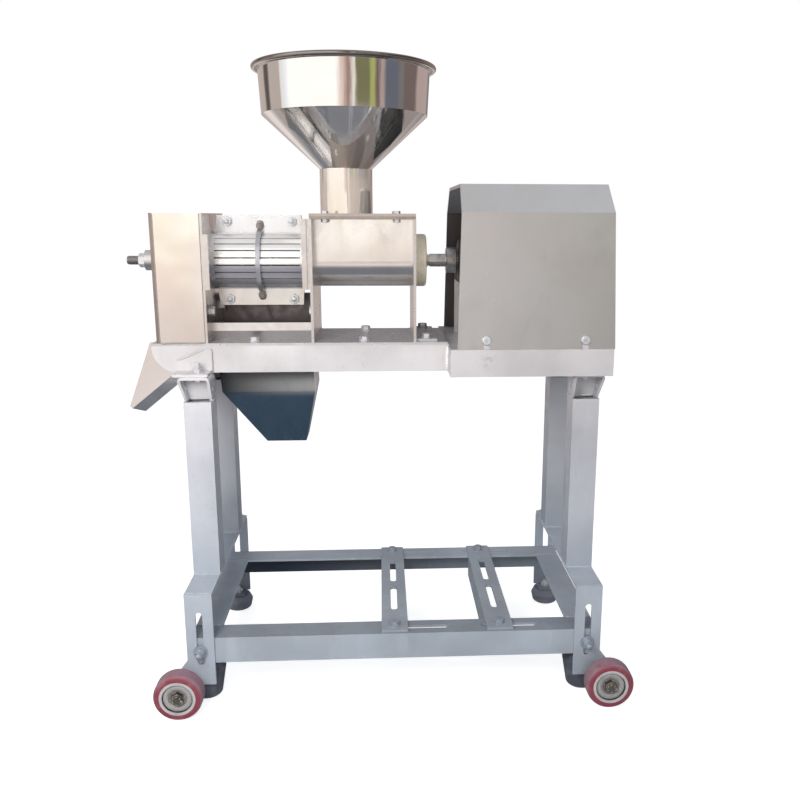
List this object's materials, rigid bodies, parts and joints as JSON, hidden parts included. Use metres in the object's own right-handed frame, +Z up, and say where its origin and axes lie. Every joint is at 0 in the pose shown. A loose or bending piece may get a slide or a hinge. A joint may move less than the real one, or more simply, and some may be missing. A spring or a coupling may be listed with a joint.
{
  "type": "coconut milk extractor",
  "caption": "Screw press on a wheeled stand: hopper, slotted pressing cage, milk and residue chutes, adjustable choke, covered belt drive and a sliding motor platform.",
  "frame": {"origin": "on the floor under the middle of the machine's bounding box", "axes": "+X along the press screw towards the belt drive, +Y from the front to the back, +Z up"},
  "size_m": [0.7574, 0.3996, 0.929],
  "materials": {
    "frame_paint": "silver-grey paint, satin, with rough weld marks",
    "stainless": "bright polished stainless sheet",
    "cast_steel": "machined steel",
    "zinc": "bright zinc plating",
    "nylon": "cream nylon",
    "wheel_tread": "dark red moulded tread",
    "wheel_hub": "off-white moulded hub",
    "foot_rubber": "black rubber",
    "iron": "dark casting"
  },
  "bodies": {
    "frame": {"front_left_leg": "frame_paint", "rear_left_leg": "frame_paint", "front_right_leg": "frame_paint", "rear_right_leg": "frame_paint", "left_foot_beam": "frame_paint", "right_foot_beam": "frame_paint", "front_left_post": "frame_paint", "front_right_post": "frame_paint", "rear_left_post": "frame_paint", "rear_right_post": "frame_paint", "front_press_rail": "frame_paint", "rear_press_rail": "frame_paint", "front_drive_rail": "frame_paint", "rear_drive_rail": "frame_paint", "left_cross_rail": "frame_paint", "right_cross_rail": "frame_paint", "base_plate": "stainless", "end_plate": "stainless", "outlet_plate": "stainless", "feed_inner_plate": "stainless", "feed_outer_plate": "stainless", "feed_trough": "stainless", "hopper": "stainless", "front_cage": "stainless", "rear_cage": "stainless", "discharge_box": "stainless", "residue_chute": "stainless", "milk_tray": "stainless", "milk_chute": "stainless", "wheel_axles": "zinc", "frame_bolts": "zinc", "cage_bolts": "zinc", "cover_screws": "zinc", "lock_nut": "zinc", "nylon_bush": "nylon", "front_left_foot": "foot_rubber", "front_right_foot": "foot_rubber", "rear_left_foot": "foot_rubber", "rear_right_foot": "foot_rubber", "bearing_blocks": "iron"},
    "screw": {"auger": "cast_steel", "drive_shaft": "cast_steel", "shaft_collar": "cast_steel", "v_pulley": "iron"},
    "left_wheel": {"left_wheel_tyre": "wheel_tread", "left_wheel_hub": "wheel_hub"},
    "right_wheel": {"right_wheel_tyre": "wheel_tread", "right_wheel_hub": "wheel_hub"},
    "choke": {"choke_cone": "cast_steel"},
    "adjuster": {"adjuster_screw": "cast_steel"},
    "platform": {"front_platform_rail": "frame_paint", "rear_platform_rail": "frame_paint", "left_platform_rail": "frame_paint", "right_platform_rail": "frame_paint", "platform_bolts": "zinc"},
    "left_bar": {"left_motor_bar": "frame_paint", "left_motor_bar_bolts": "zinc"},
    "right_bar": {"right_motor_bar": "frame_paint", "right_motor_bar_bolts": "zinc"},
    "cover": {"drive_cover": "stainless"}
  },
  "joints": [
    {"name": "screw_spin", "type": "hinge", "parent": "frame", "child": "screw", "pos_m": [0.0288, 0.03945, 0.645], "axis": [1, 0, 0], "continuous": true},
    {"name": "left_wheel_spin", "type": "hinge", "parent": "frame", "child": "left_wheel", "pos_m": [-0.2859, -0.18055, 0.0362], "axis": [0, 1, 0], "continuous": true},
    {"name": "right_wheel_spin", "type": "hinge", "parent": "frame", "child": "right_wheel", "pos_m": [0.3435, -0.18055, 0.0362], "axis": [0, 1, 0], "continuous": true},
    {"name": "choke_slide", "type": "slide", "parent": "frame", "child": "choke", "axis": [1, 0, 0], "range_m": [-0.006, 0.01]},
    {"name": "adjuster_turn", "type": "hinge", "parent": "choke", "child": "adjuster", "pos_m": [0.0288, 0.03945, 0.645], "axis": [1, 0, 0], "range_deg": [-1090, 1810]},
    {"name": "motor_platform_slide", "type": "slide", "parent": "frame", "child": "platform", "axis": [0, 0, 1], "range_m": [-0.005, 0.055]},
    {"name": "left_motor_bar_slide", "type": "slide", "parent": "platform", "child": "left_bar", "axis": [1, 0, 0], "range_m": [-0.012, 0.075]},
    {"name": "right_motor_bar_slide", "type": "slide", "parent": "platform", "child": "right_bar", "axis": [1, 0, 0], "range_m": [-0.022, 0.05]},
    {"name": "cover_lift", "type": "slide", "parent": "frame", "child": "cover", "axis": [0, 0, 1], "range_m": [0, 0.24]}
  ],
  "couplings": [
    {"joint": "adjuster_turn", "follows": "choke_slide", "rad_per_m": 3141.6}
  ]
}
